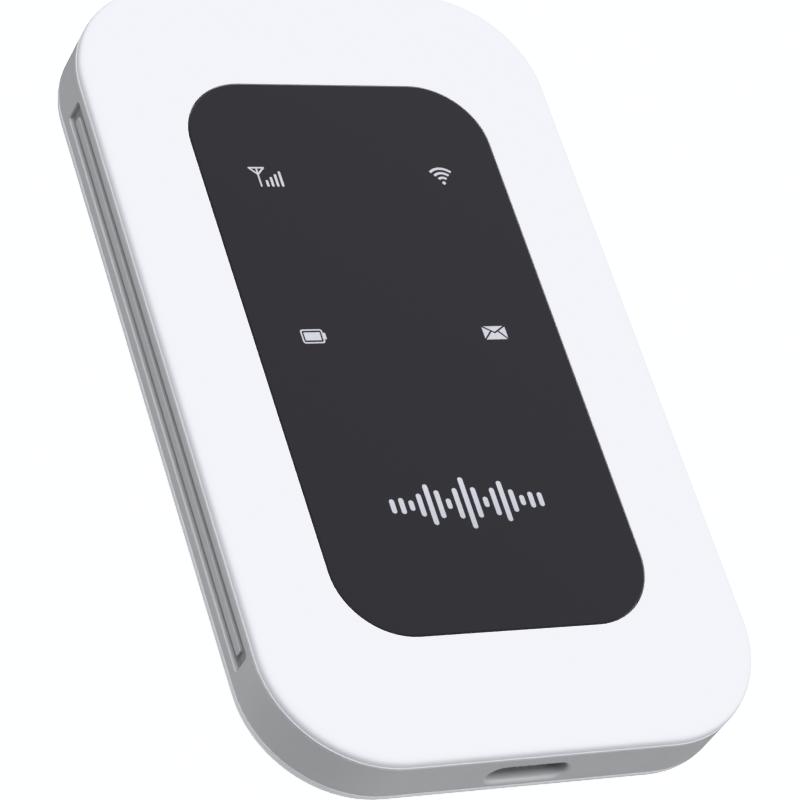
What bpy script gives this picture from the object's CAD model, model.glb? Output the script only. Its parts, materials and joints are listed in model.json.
import json
import math

import bmesh
import bpy
from mathutils import Matrix, Vector


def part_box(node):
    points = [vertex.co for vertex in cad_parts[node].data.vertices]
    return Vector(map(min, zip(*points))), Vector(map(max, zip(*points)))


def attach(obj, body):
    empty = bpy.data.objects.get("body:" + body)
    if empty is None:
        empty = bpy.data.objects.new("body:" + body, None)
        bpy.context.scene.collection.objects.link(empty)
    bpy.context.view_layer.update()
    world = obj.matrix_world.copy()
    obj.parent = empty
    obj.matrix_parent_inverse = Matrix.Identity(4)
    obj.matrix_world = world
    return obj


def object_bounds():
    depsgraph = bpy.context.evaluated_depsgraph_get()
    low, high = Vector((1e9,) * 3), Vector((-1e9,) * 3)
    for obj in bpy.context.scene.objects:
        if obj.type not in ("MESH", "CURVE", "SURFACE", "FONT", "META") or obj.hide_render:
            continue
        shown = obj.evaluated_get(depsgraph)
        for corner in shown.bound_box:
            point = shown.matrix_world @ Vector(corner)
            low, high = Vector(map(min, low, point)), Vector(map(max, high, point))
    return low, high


# Mobile hotspot: looks, stage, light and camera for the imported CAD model. Lengths are in metres,
# in the frame's axes: X across the case, Y from the port's end to the power key's, Z up through
# the window. Colours are linear.
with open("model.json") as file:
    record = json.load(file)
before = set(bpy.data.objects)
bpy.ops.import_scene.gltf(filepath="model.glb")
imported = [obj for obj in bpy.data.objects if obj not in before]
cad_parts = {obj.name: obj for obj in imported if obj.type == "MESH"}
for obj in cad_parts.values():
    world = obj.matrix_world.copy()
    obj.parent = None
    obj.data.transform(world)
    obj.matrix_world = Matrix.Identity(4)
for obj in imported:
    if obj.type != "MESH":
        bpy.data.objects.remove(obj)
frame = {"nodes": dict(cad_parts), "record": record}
cad_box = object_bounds()
nodes = frame["nodes"]
MM = 0.001

# where dust and shade darken the middle housing
groove_edges = (7.05 * MM, 4.75 * MM)       # a groove's upper edge, and the foot of its rib
groove_end = 36.0 * MM                      # how far a groove runs from the case's middle
groove_face_shade, groove_corner_shade = 0.50, 0.62
port_half_width = 6.25 * MM                 # the port's shade reaches this far to each side,
port_reach = 3.3 * MM                       # this far in from the end wall,
deck_top = 2.9 * MM                         # and down to the deck
port_shade = 0.75

ink = 0.008 * MM                            # thickness of a printed mark
key_middle_z = 5.2                          # height of the power key's middle, in millimetres
plus_x, minus_x = -18.6, -13.4              # the battery's polarity signs, in millimetres


# ---------------------------------------------------------------- shader building blocks
class Shader:
    """A node tree with short calls for the patterns that the materials share."""

    def __init__(self, name):
        self.mat = bpy.data.materials.new(name)
        self.mat.use_nodes = True
        self.tree = self.mat.node_tree
        self.out = self.tree.nodes["Principled BSDF"]
        self.coords = self.add("ShaderNodeTexCoord").outputs["Object"]
        self.normal = None

    def add(self, kind, settings=None, **inputs):
        """A node of this kind, with its settings, and its inputs as values or links."""
        node = self.tree.nodes.new(kind)
        for key, value in (settings or {}).items():
            setattr(node, key, value)
        for key, value in inputs.items():
            self.put(node.inputs[key.replace("_", " ")], value)
        return node

    def put(self, socket, value):
        if isinstance(value, bpy.types.NodeSocket):
            self.tree.links.new(value, socket)
        else:
            socket.default_value = value

    def set(self, **inputs):
        """Values or links for the Principled shader."""
        for key, value in inputs.items():
            self.put(self.out.inputs[key.replace("_", " ")], value)

    def math(self, operation, *values):
        node = self.add("ShaderNodeMath", {"operation": operation})
        for i, value in enumerate(values):
            self.put(node.inputs[i], value)
        return node.outputs[0]

    def scaled(self, stretch):
        """Object coordinates stretched along each axis."""
        node = self.add("ShaderNodeMapping", Vector=self.coords, Scale=stretch)
        return node.outputs["Vector"]

    def noise(self, size, detail=2.0, roughness=0.5, stretch=None):
        """Noise whose features are about this size in metres."""
        coords = self.scaled(stretch) if stretch else self.coords
        node = self.add("ShaderNodeTexNoise", Vector=coords, Scale=1 / size, Detail=detail,
                        Roughness=roughness)
        return node.outputs["Fac"]

    def cells(self, size):
        """Distance to the middle of cells of about this size in metres."""
        return self.add("ShaderNodeTexVoronoi", Vector=self.coords,
                        Scale=1 / size).outputs["Distance"]

    def axes(self):
        """The object coordinates one by one, by name."""
        return self.add("ShaderNodeSeparateXYZ", Vector=self.coords).outputs

    def span(self, value, low, high, new_low=0.0, new_high=1.0):
        """The value carried from one range to another, and held at its ends."""
        node = self.add("ShaderNodeMapRange", Value=value)
        for key, number in (("From Min", low), ("From Max", high), ("To Min", new_low),
                            ("To Max", new_high)):
            self.put(node.inputs[key], number)
        return node.outputs["Result"]

    def mix(self, amount, first, second):
        """A colour between two colours."""
        node = self.add("ShaderNodeMix", {"data_type": "RGBA"})
        for socket, value in ((node.inputs[0], amount), (node.inputs[6], first),
                              (node.inputs[7], second)):
            is_colour = not isinstance(value, (bpy.types.NodeSocket, float))
            self.put(socket, (*value, 1.0) if is_colour else value)
        return node.outputs[2]

    def bump(self, height, depth, strength=1.0):
        """Lay a height pattern, depth metres deep, over the bumps so far."""
        node = self.add("ShaderNodeBump", Height=height, Distance=depth, Strength=strength)
        if self.normal:
            self.put(node.inputs["Normal"], self.normal)
        self.normal = node.outputs["Normal"]
        self.put(self.out.inputs["Normal"], self.normal)

    def edges(self, radius, low=0.02, high=0.25):
        """1 along the part's sharp edges, 0 elsewhere."""
        rounded = self.add("ShaderNodeBevel", {"samples": 4}, Radius=radius)
        flat = self.add("ShaderNodeNewGeometry")
        dot = self.add("ShaderNodeVectorMath", {"operation": "DOT_PRODUCT"})
        self.put(dot.inputs[0], rounded.outputs["Normal"])
        self.put(dot.inputs[1], flat.outputs["Normal"])
        return self.span(self.math("SUBTRACT", 1.0, dot.outputs["Value"]), low, high)


def shade(colour, factor):
    """A colour made lighter or darker."""
    return tuple(min(1.0, c * factor) for c in colour)


def plastic(name, colour, roughness, grain, tint=0.02, wear=0.0, sink=0.0, recess=None):
    """Moulded plastic: spark-eroded grain, a slight tint drift, sink waves and worn edges.

    grain and sink are depths in metres, tint and wear are shares of the colour, and recess
    gives how much of the surface is darkened.
    """
    s = Shader(name)
    tone = s.mix(s.noise(9 * MM, 3.0), shade(colour, 1 - tint), shade(colour, 1 + tint))
    if recess:
        tone = s.mix(recess(s), tone, shade(colour, 0.12))
    rough = s.span(s.noise(4.05 * MM, 4.0), 0.3, 0.7, roughness - 0.05, roughness + 0.05)
    if wear:
        patches = s.span(s.noise(1.7 * MM, 3.0), 0.35, 0.7)
        worn = s.math("MULTIPLY", s.math("MULTIPLY", s.edges(0.12 * MM), patches), wear)
        tone = s.mix(worn, tone, shade(colour, 1.25))
        rough = s.math("SUBTRACT", rough, s.math("MULTIPLY", worn, 0.15))
    s.set(Base_Color=tone, Roughness=rough, IOR=1.5)
    if sink:
        s.bump(s.noise(14 * MM, 1.0), sink)
    s.bump(s.noise(0.16 * MM, 3.0, 0.6), grain)
    return s.mat


def housing_recess(s):
    """How much the side grooves and the port's tunnel are darkened, by dust and shade."""
    place = s.axes()
    across, along, height = s.math("ABSOLUTE", place["X"]), place["Y"], place["Z"]
    wall_x, wall_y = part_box("middle_housing")[1][:2]

    below_wall = s.span(across, wall_x - 0.05 * MM, wall_x - 0.30 * MM)
    in_length = s.span(s.math("ABSOLUTE", along), groove_end + 0.2 * MM, groove_end - 0.2 * MM)
    corners = [s.math("MULTIPLY", s.span(height, edge - 0.45 * MM, edge - 0.15 * MM),
                      s.span(height, edge + 0.15 * MM, edge)) for edge in groove_edges]
    dust = s.span(s.math("MAXIMUM", *corners), 0.0, 1.0, groove_face_shade, groove_corner_shade)
    grooves = s.math("MULTIPLY", s.math("MULTIPLY", below_wall, in_length), dust)

    inside = s.span(along, 0.35 * MM - wall_y, 1.3 * MM - wall_y, 0.0, port_shade)
    in_reach = s.span(along, port_reach + 0.1 * MM - wall_y, port_reach - 0.1 * MM - wall_y)
    in_width = s.span(across, port_half_width + 0.25 * MM, port_half_width - 0.25 * MM)
    above_deck = s.span(height, deck_top - 0.6 * MM, deck_top - 0.3 * MM)
    by_port = s.math("MULTIPLY", s.math("MULTIPLY", in_reach, in_width), above_deck)
    tunnel = s.math("MULTIPLY", inside, by_port)
    return s.math("MAXIMUM", grooves, tunnel)


def metal(name, colour, roughness, brush=None, stain=0.12, dents=0.0, wear=0.0):
    """Plated or brushed metal, with stains, fine lines, shallow dents and brighter edges.

    brush stretches the lines along an axis, and dents is a depth in metres.
    """
    s = Shader(name)
    tone = s.mix(s.noise(2.2 * MM, 4.0), shade(colour, 1 - stain), shade(colour, 1 + stain))
    lines = s.noise(0.5 * MM, 4.0, stretch=brush) if brush else s.noise(0.3 * MM, 4.0)
    rough = s.span(lines, 0.3, 0.7, roughness - 0.08, roughness + 0.1)
    if wear:
        worn = s.math("MULTIPLY", s.edges(0.08 * MM), wear)
        tone = s.mix(worn, tone, (0.8, 0.8, 0.78))
    s.set(Base_Color=tone, Roughness=rough, Metallic=1.0)
    s.bump(lines, 0.004 * MM)
    if dents:
        s.bump(s.noise(3 * MM, 1.0), dents)
    return s.mat


def make_lens():
    """Smoked acrylic: deep black, polished, with the faintest dust and wipe marks."""
    s = Shader("black_lens")
    wipe = s.noise(6 * MM, 3.0, 0.55, stretch=(1.0, 0.35, 1.0))
    dust = s.span(s.cells(1.6 * MM), 0.0, 0.035, 1.0, 0.0)
    s.set(Base_Color=s.mix(s.math("MULTIPLY", dust, 0.04), (0.0045, 0.0034, 0.0072),
                           (0.3, 0.3, 0.32)),
          Roughness=s.span(wipe, 0.35, 0.75, 0.045, 0.085), IOR=1.445)
    s.bump(s.noise(22 * MM, 0.0), 0.006 * MM)
    return s.mat


def make_print(name, colour, roughness, metallic=0.0, fade=0.0):
    """Ink under a clear face, a little uneven in its cover, and darker towards -Y by fade."""
    s = Shader(name)
    cover = s.span(s.noise(0.35 * MM, 4.0), 0.25, 0.6)
    tone = s.mix(cover, shade(colour, 0.9), colour)
    if fade:
        tone = s.mix(s.span(s.axes()["Y"], -24 * MM, -17 * MM), shade(colour, 1 - fade), tone)
    s.set(Base_Color=tone, Roughness=roughness, Metallic=metallic, Coat_Weight=0.6,
          Coat_Roughness=0.06)
    return s.mat


def make_label(name, colour):
    """Film label: smooth, slightly creased, with a paper-fine tooth."""
    s = Shader(name)
    s.set(Base_Color=s.mix(s.noise(5 * MM, 3.0), shade(colour, 0.965), colour),
          Roughness=s.span(s.noise(3 * MM, 3.0), 0.3, 0.7, 0.36, 0.46))
    s.bump(s.noise(16 * MM, 2.0, stretch=(1.0, 0.4, 1.0)), 0.03 * MM)
    s.bump(s.noise(0.09 * MM, 2.0), 0.002 * MM)
    return s.mat


def make_foam():
    """Open-cell black foam."""
    s = Shader("foam")
    cells = s.cells(0.34 * MM)
    s.set(Base_Color=s.mix(s.span(cells, 0.1, 0.6), (0.025, 0.025, 0.028), (0.11, 0.11, 0.12)),
          Roughness=0.95, Sheen_Weight=0.3)
    s.bump(cells, 0.12 * MM)
    return s.mat


def make_tape():
    """Black adhesive tape with a fibrous body."""
    s = Shader("tape")
    s.set(Base_Color=s.mix(s.noise(0.8 * MM, 5.0), (0.03, 0.03, 0.03), (0.055, 0.055, 0.055)),
          Roughness=0.7)
    s.bump(s.noise(0.2 * MM, 3.0), 0.01 * MM)
    return s.mat


def make_battery_wrap():
    """Aluminium laminate round the cell: soft sheen, small pillowing and pressed creases."""
    s = Shader("battery_case")
    s.set(Base_Color=s.mix(s.noise(4 * MM, 4.0), (0.60, 0.61, 0.63), (0.72, 0.73, 0.75)),
          Roughness=s.span(s.noise(1.2 * MM, 4.0), 0.3, 0.7, 0.28, 0.42), Metallic=0.85)
    s.bump(s.noise(7 * MM, 3.0, 0.6), 0.10 * MM)
    s.bump(s.noise(0.25 * MM, 2.0), 0.004 * MM)
    return s.mat


def make_board():
    """Green solder mask over copper tracks, with a grid of vias."""
    s = Shader("circuit_board")
    brick = s.add("ShaderNodeTexBrick", {"offset": 0.37, "squash": 1.6, "squash_frequency": 3},
                  Vector=s.coords, Color1=(0, 0, 0, 1), Color2=(1, 1, 1, 1),
                  Mortar=(0.5, 0.5, 0.5, 1), Scale=1 / (3.0 * MM), Mortar_Size=0.045,
                  Brick_Width=1.7, Row_Height=0.32)
    tracks = brick.outputs["Fac"]
    vias = s.span(s.cells(1.9 * MM), 0.10, 0.14, 1.0, 0.0)
    mask = s.mix(s.noise(6 * MM, 3.0), (0.008, 0.085, 0.045), (0.012, 0.11, 0.055))
    tone = s.mix(tracks, mask, (0.025, 0.19, 0.085))
    s.set(Base_Color=s.mix(vias, tone, (0.55, 0.50, 0.38)), Roughness=0.28,
          Coat_Weight=0.5, Coat_Roughness=0.12)
    s.bump(tracks, 0.03 * MM)
    s.bump(s.noise(0.5 * MM, 3.0), 0.006 * MM)
    return s.mat


def make_chip_ends():
    """Small ceramic parts: a fired body between two tinned ends."""
    s = Shader("ceramic_parts")
    facing = s.add("ShaderNodeSeparateXYZ",
                   Vector=s.add("ShaderNodeNewGeometry").outputs["Normal"]).outputs["X"]
    ends = s.span(s.math("ABSOLUTE", facing), 0.85, 0.9)
    body = s.mix(s.noise(0.6 * MM, 3.0), (0.30, 0.21, 0.13), (0.46, 0.36, 0.25))
    s.set(Base_Color=s.mix(ends, body, (0.72, 0.72, 0.70)), Metallic=ends,
          Roughness=s.span(ends, 0, 1, 0.55, 0.3))
    s.bump(s.noise(0.12 * MM, 3.0), 0.008 * MM)
    return s.mat


def make_guide():
    """Frosted diffuser plastic over the status lights."""
    s = Shader("light_guide")
    s.set(Base_Color=s.mix(s.noise(2 * MM, 3.0), (0.86, 0.87, 0.86), (0.92, 0.92, 0.90)),
          Roughness=0.5, Transmission_Weight=0.35, IOR=1.49)
    s.bump(s.noise(0.12 * MM, 2.0), 0.01 * MM)
    return s.mat


def make_antenna():
    """Amber flexible film over a folded copper pattern."""
    s = Shader("antenna_film")
    brick = s.add("ShaderNodeTexBrick", {"offset": 0.5},
                  Vector=s.add("ShaderNodeMapping", Vector=s.coords,
                               Rotation=(0.0, math.pi / 2, 0.0)).outputs["Vector"],
                  Scale=1 / (2.0 * MM), Mortar_Size=0.16, Brick_Width=1.3, Row_Height=0.6)
    copper = brick.outputs["Fac"]
    s.set(Base_Color=s.mix(copper, (0.16, 0.085, 0.02), (0.50, 0.27, 0.12)),
          Roughness=0.3, Metallic=s.math("MULTIPLY", copper, 0.7), Coat_Weight=0.7)
    s.bump(copper, 0.03 * MM)
    return s.mat


palette = {
    "white_shell": plastic("white_shell", (0.855, 0.865, 0.913), 0.36, grain=0.012 * MM,
                           tint=0.006, wear=0.1, sink=0.015 * MM),
    "grey_housing": plastic("grey_housing", (0.545, 0.556, 0.58), 0.5, grain=0.035 * MM,
                            tint=0.018, wear=0.1, sink=0.01 * MM, recess=housing_recess),
    "grey_key": plastic("grey_key", (0.515, 0.53, 0.545), 0.38, grain=0.014 * MM, wear=0.5),
    "black_plastic": plastic("black_plastic", (0.022, 0.022, 0.024), 0.45, grain=0.03 * MM,
                             wear=0.6, tint=0.1),
    "switch_plastic": plastic("switch_plastic", (0.06, 0.06, 0.065), 0.4, grain=0.01 * MM,
                              wear=0.5, tint=0.05),
    "card_plastic": plastic("card_plastic", (0.83, 0.84, 0.86), 0.3, grain=0.006 * MM,
                            tint=0.01, wear=0.3),
    "black_lens": make_lens(),
    "tape": make_tape(),
    "icon_print": make_print("icon_print", (0.43, 0.438, 0.485), 0.35),
    "silver_print": make_print("silver_print", (0.485, 0.50, 0.56), 0.32, 0.15, fade=0.22),
    "foam": make_foam(),
    "battery_case": make_battery_wrap(),
    "paper_label": make_label("paper_label", (0.82, 0.82, 0.81)),
    "circuit_board": make_board(),
    "tinned_steel": metal("tinned_steel", (0.66, 0.66, 0.645), 0.28, brush=(1.0, 0.06, 1.0),
                          wear=0.3, dents=0.05 * MM),
    "switch_metal": metal("switch_metal", (0.62, 0.62, 0.61), 0.34, wear=0.3),
    "gold_contact": metal("gold_contact", (0.86, 0.62, 0.24), 0.24, brush=(0.1, 1.0, 1.0),
                          stain=0.08),
    "screw_steel": metal("screw_steel", (0.16, 0.16, 0.17), 0.36, stain=0.25, wear=0.7),
    "ceramic_parts": make_chip_ends(),
    "light_guide": make_guide(),
    "antenna_film": make_antenna(),
}
for row in frame["record"]["subparts"]:
    data = nodes[row["node"]].data
    data.materials.clear()
    data.materials.append(palette[row["material_slot"]])

ink_grey = make_print("ink_grey", (0.30, 0.31, 0.33), 0.5)
ink_blue = make_print("ink_blue", (0.07, 0.16, 0.27), 0.45)
ink_white = make_print("ink_white", (0.75, 0.76, 0.78), 0.45)


# ---------------------------------------------------------------- printed details
# Shapes are lists of (x, y) points in millimetres, anticlockwise, on a drawing plane.
def round_rect(x, y, width, height, radius, steps=6):
    """A rectangle with rounded corners about (x, y)."""
    points = []
    for cx, cy, start in ((1, 1, 0), (-1, 1, 90), (-1, -1, 180), (1, -1, 270)):
        for i in range(steps + 1):
            angle = math.radians(start + 90 * i / steps)
            points.append((x + cx * (width / 2 - radius) + radius * math.cos(angle),
                           y + cy * (height / 2 - radius) + radius * math.sin(angle)))
    return points


def arc_band(x, y, radius, band, start, end, steps=40):
    """A band that follows an arc about (x, y), from start to end in degrees."""
    outer, inner = [], []
    for i in range(steps + 1):
        angle = math.radians(start + (end - start) * i / steps)
        for ring, r in ((outer, radius + band / 2), (inner, radius - band / 2)):
            ring.append((x + r * math.cos(angle), y + r * math.sin(angle)))
    return outer + inner[::-1]


def frame_strips(x, y, width, height, line):
    """Four strips that make a rectangular rule about (x, y)."""
    level = [round_rect(x, y + side * (height - line) / 2, width, line, line * 0.4)
             for side in (-1, 1)]
    upright = [round_rect(x + side * (width - line) / 2, y, line, height - 2 * line, line * 0.1)
               for side in (-1, 1)]
    return level + upright


def facing_down(z):
    """A drawing plane on a face that looks down: its X runs along +X, its Y along -Y."""
    return Matrix.Translation((0, 0, z)) @ Matrix.Rotation(math.pi, 4, "X")


def face_below(node):
    """The plane on a node's lowest face, and that face's middle on it."""
    low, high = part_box(node)
    return facing_down(low[2]), (low[0] + high[0]) / 2 / MM, -(low[1] + high[1]) / 2 / MM


def printed(name, shapes, place, thickness, material, body):
    """Thin ink shapes on a drawing plane, as one piece that rides on a body."""
    mesh = bpy.data.meshes.new(name)
    build = bmesh.new()
    for points in shapes:
        low = [build.verts.new(place @ Vector((x * MM, y * MM, 0.0))) for x, y in points]
        high = [build.verts.new(place @ Vector((x * MM, y * MM, thickness))) for x, y in points]
        build.faces.new(low[::-1])
        build.faces.new(high)
        for i in range(len(points)):
            j = (i + 1) % len(points)
            build.faces.new((low[i], low[j], high[j], high[i]))
    bmesh.ops.recalc_face_normals(build, faces=build.faces)
    build.to_mesh(mesh)
    build.free()
    piece = bpy.data.objects.new(name, mesh)
    bpy.context.scene.collection.objects.link(piece)
    mesh.materials.append(material)
    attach(piece, body)


# power mark on the key: an open ring and a bar, on the key's +Y face, where X runs along -X
key_low, key_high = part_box("power_button")
key_x = (key_low[0] + key_high[0]) / 2 / MM
mark_line = 0.17
on_key = Matrix(((-1, 0, 0, 0), (0, 0, 1, key_high[1]), (0, 1, 0, 0), (0, 0, 0, 1)))
printed("power_mark", [arc_band(-key_x, key_middle_z, 0.62, mark_line, 122, 418),
                       round_rect(-key_x, key_middle_z + 0.52, mark_line, 0.72, 0.08)],
        on_key, ink, ink_white, "power_key")

# battery wrap: a blue band, a ruled panel and polarity signs
on_battery, x, y = face_below("battery_label")
label_low, label_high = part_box("battery_label")
wide, tall = (label_high[0] - label_low[0]) / MM, (label_high[1] - label_low[1]) / MM
rules = [round_rect(x, y - 2 + 4.2 * i, wide - 10, 0.16, 0.07) for i in range(5)]
printed("battery_band", [round_rect(x, y - tall / 2 + 6.5, wide - 3, 9.0, 0.9)], on_battery, ink,
        ink_blue, "battery_pack")
printed("battery_rules", rules + frame_strips(x, y + 6.4, wide - 6, 25.0, 0.3), on_battery, ink,
        ink_grey, "battery_pack")

on_cap, x, y = face_below("battery_cap")
sign_line, sign_radius = 0.3, 0.1
plus = [round_rect(plus_x, y, 1.5, sign_line, sign_radius)]
plus += [round_rect(plus_x, y + side * 0.45, sign_line, 0.6, sign_radius) for side in (1, -1)]
minus = [round_rect(minus_x, y, 1.5, sign_line, sign_radius)]
printed("battery_poles", plus + minus, on_cap, ink, ink_white, "battery_pack")

# card: a coloured corner on the printed side, and the gold pads on the other
on_card, x, y = face_below("sim_card")
printed("card_print", [round_rect(x, y - 3.6, 9.4, 5.2, 0.8),
                       round_rect(x - 2.2, y + 2.4, 5.0, 0.35, 0.15),
                       round_rect(x - 2.9, y + 3.6, 3.6, 0.35, 0.15)],
        on_card, ink, ink_blue, "sim_card")
pad_y = 1.0 - y                 # on the card's upper side Y runs along +Y
pads = [round_rect(x + 3.05 * i, pad_y + 2.54 * j, 2.75, 2.2, 0.4)
        for i in (-1, 1) for j in (-1, 0, 1)] + [round_rect(x, pad_y, 2.6, 7.3, 0.5)]
pad_sink, pad_thickness = 0.012 * MM, 0.02 * MM
printed("card_pads", pads, Matrix.Translation((0, 0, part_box("sim_card")[1][2] - pad_sink)),
        pad_thickness, palette["gold_contact"], "sim_card")

# rating label in the bay: an empty ruled table and a blue band
on_label, x, y = face_below("rating_label")
table = frame_strips(x, y, 31.0, 32.0, 0.25)
table += [round_rect(x, y - 9.6 + 4.8 * i, 30.5, 0.14, 0.05) for i in range(5)]
table += [round_rect(x - 6.0, y + 3.2, 0.14, 25.0, 0.05)]
printed("rating_table", table, on_label, ink, ink_grey, "main_unit")
printed("rating_band", [round_rect(x, y - 12.9, 29.5, 5.0, 0.4)], on_label, ink, ink_blue,
        "main_unit")

# ---------------------------------------------------------------- stage
floor_half = 3.0
floor_z = -42 * MM          # just below the rear cover where it is pulled off furthest
floor_mesh = bpy.data.meshes.new("floor")
floor_mesh.from_pydata([(side_x * floor_half, side_y * floor_half, floor_z)
                        for side_x, side_y in ((-1, -1), (1, -1), (1, 1), (-1, 1))],
                       [], [(0, 1, 2, 3)])
floor = bpy.data.objects.new("floor", floor_mesh)
bpy.context.scene.collection.objects.link(floor)
paper = Shader("floor_paper")
paper.set(Base_Color=paper.mix(paper.noise(60 * MM, 2.0), (0.69, 0.69, 0.695), (0.71, 0.71, 0.71)),
          Roughness=0.9, Emission_Color=(1.0, 1.0, 1.0, 1.0), Emission_Strength=2.4)
# seen from below the floor is clear, so that it never hides the underside
behind = paper.add("ShaderNodeNewGeometry").outputs["Backfacing"]
one_sided = paper.add("ShaderNodeMixShader")
for socket, value in zip(one_sided.inputs, (behind, paper.out.outputs["BSDF"],
                                            paper.add("ShaderNodeBsdfTransparent").outputs[0])):
    paper.put(socket, value)
paper.put(paper.tree.nodes["Material Output"].inputs["Surface"], one_sided.outputs[0])
floor.data.materials.append(paper.mat)
floor.visible_diffuse = False      # the sky's lower half sets the light that comes from below
floor.visible_glossy = False
floor.visible_shadow = False

# ---------------------------------------------------------------- light
# A studio that is dim at the horizon, and lighter overhead and straight below. Each ramp has the
# directions' Z where it starts and ends, and its strength at each. The two are added.
sky_overhead = (0.0, 0.7, 0.205, 0.76)
sky_below = (-0.65, -1.0, 0.0, 1.25)
world = bpy.data.worlds.new("studio")
bpy.context.scene.world = world
world.use_nodes = True
sky = world.node_tree
direction = sky.nodes.new("ShaderNodeTexCoord")
split = sky.nodes.new("ShaderNodeSeparateXYZ")
sky.links.new(direction.outputs["Generated"], split.inputs["Vector"])
strength = sky.nodes.new("ShaderNodeMath")
for i, limits in enumerate((sky_overhead, sky_below)):
    ramp = sky.nodes.new("ShaderNodeMapRange")
    ramp.interpolation_type = "SMOOTHSTEP"
    for key, number in zip(("From Min", "From Max", "To Min", "To Max"), limits):
        ramp.inputs[key].default_value = number
    sky.links.new(split.outputs["Z"], ramp.inputs["Value"])
    sky.links.new(ramp.outputs["Result"], strength.inputs[i])
background = sky.nodes["Background"]
background.inputs["Color"].default_value = (1, 1, 1, 1)
sky.links.new(strength.outputs[0], background.inputs["Strength"])


def softbox(name, place, width, watts):
    """A square area light that faces the middle of the case."""
    lamp = bpy.data.lights.new(name, "AREA")
    lamp.size = width
    lamp.energy = watts
    obj = bpy.data.objects.new(name, lamp)
    obj.location = place
    obj.rotation_euler = (-Vector(place)).to_track_quat("-Z", "Y").to_euler()
    bpy.context.scene.collection.objects.link(obj)


softbox("overhead", (0.0, 0.05, 0.8), 0.45, 1.5)
softbox("left", (-0.33, 0.17, 0.74), 0.25, 2.5)
softbox("right", (0.22, -0.33, 0.74), 0.25, 2.7)

# ---------------------------------------------------------------- camera
view_azimuth = math.radians(-45.68)
view_elevation = math.radians(47.93)
view_roll = math.radians(35.34)
view_distance = 392.83 * MM
view_aim = Vector((-4.05 * MM, -7.10 * MM, cad_box[1][2] - cad_box[0][2]))
focal_length = 161.55       # on a sensor 36 mm wide
look = Vector((-math.sin(view_azimuth) * math.cos(view_elevation),
               math.cos(view_azimuth) * math.cos(view_elevation),
               -math.sin(view_elevation)))
level_right = look.cross(Vector((0, 0, 1))).normalized()
level_up = level_right.cross(look)
right = level_right * math.cos(view_roll) + level_up * math.sin(view_roll)
up = level_up * math.cos(view_roll) - level_right * math.sin(view_roll)
camera = bpy.data.objects.new("camera", bpy.data.cameras.new("camera"))
camera.data.lens = focal_length
camera.data.sensor_width = 36.0
camera.data.clip_start = 0.01
camera.matrix_world = Matrix.Translation(view_aim - look * view_distance) @ Matrix(
    (right, up, -look)).transposed().to_4x4()
bpy.context.scene.collection.objects.link(camera)
bpy.context.scene.camera = camera

# ---------------------------------------------------------------- tone curve
# a camera's soft shoulder: the brightest tones are drawn together below white, a little cooler
shoulder = ((0.0, 0.0), (0.35, 0.35), (0.62, 0.62), (0.76, 0.755), (0.87, 0.84), (0.98, 0.878),
            (1.2, 0.902), (1.6, 0.915), (2.2, 0.96), (2.8, 1.0))
channel_lifts = (-0.006, 0.0, 0.045)        # red, green, blue
lift_from, lift_span = 0.55, 0.65           # the lift grows over this range of tones
view = bpy.context.scene.view_settings
view.view_transform = "Standard"
view.use_curve_mapping = True
curves = view.curve_mapping
curves.use_clip = False
curves.extend = "HORIZONTAL"
for channel, lift in zip(curves.curves, channel_lifts):
    for i, (x, y) in enumerate(shoulder):
        y = min(1.0, y + lift * min(1.0, max(0.0, (x - lift_from) / lift_span)))
        if i < 2:                           # a new curve has two points
            channel.points[i].location = (x, y)
        else:
            channel.points.new(x, y)
curves.update()
